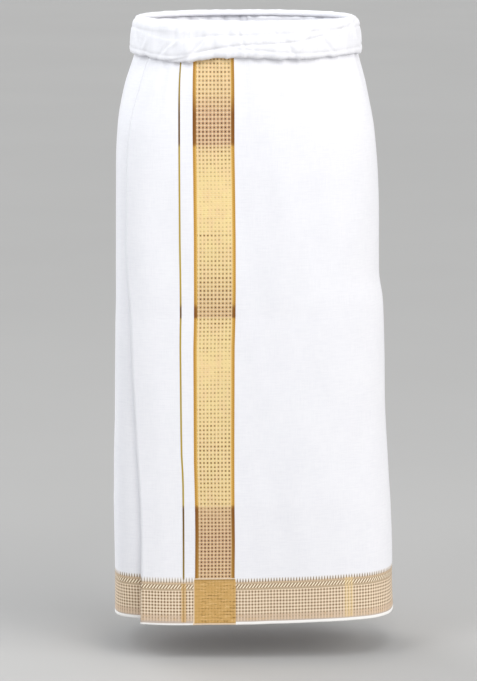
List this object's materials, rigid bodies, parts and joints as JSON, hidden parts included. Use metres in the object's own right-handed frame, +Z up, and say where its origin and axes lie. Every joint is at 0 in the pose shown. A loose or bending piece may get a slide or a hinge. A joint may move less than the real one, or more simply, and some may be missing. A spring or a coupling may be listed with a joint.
{
  "type": "dhoti cloth",
  "caption": "White cotton dhoti with woven gold border and upright band, worn as an ankle-length wrap rolled at the waist; open at waist and hem.",
  "frame": {"origin": "middle of the waist, level with the rolled top that holds the cloth", "axes": "+Z up along the body, -Y to the front of the garment, +X to the wearer's left"},
  "size_m": [0.4441, 0.2636, 0.9395],
  "materials": {
    "zari_cotton": "fine plain-woven white cotton in two plies, with a woven gold zari hem border, upright band and thin stripe",
    "plain_cotton": "fine plain-woven white cotton, rolled"
  },
  "bodies": {
    "root": {"front_outer": "zari_cotton", "right_outer": "zari_cotton", "back_outer": "zari_cotton", "left_side": "zari_cotton", "front_inner": "zari_cotton", "right_inner": "zari_cotton", "back_inner": "zari_cotton", "waist_roll": "plain_cotton"}
  },
  "joints": []
}
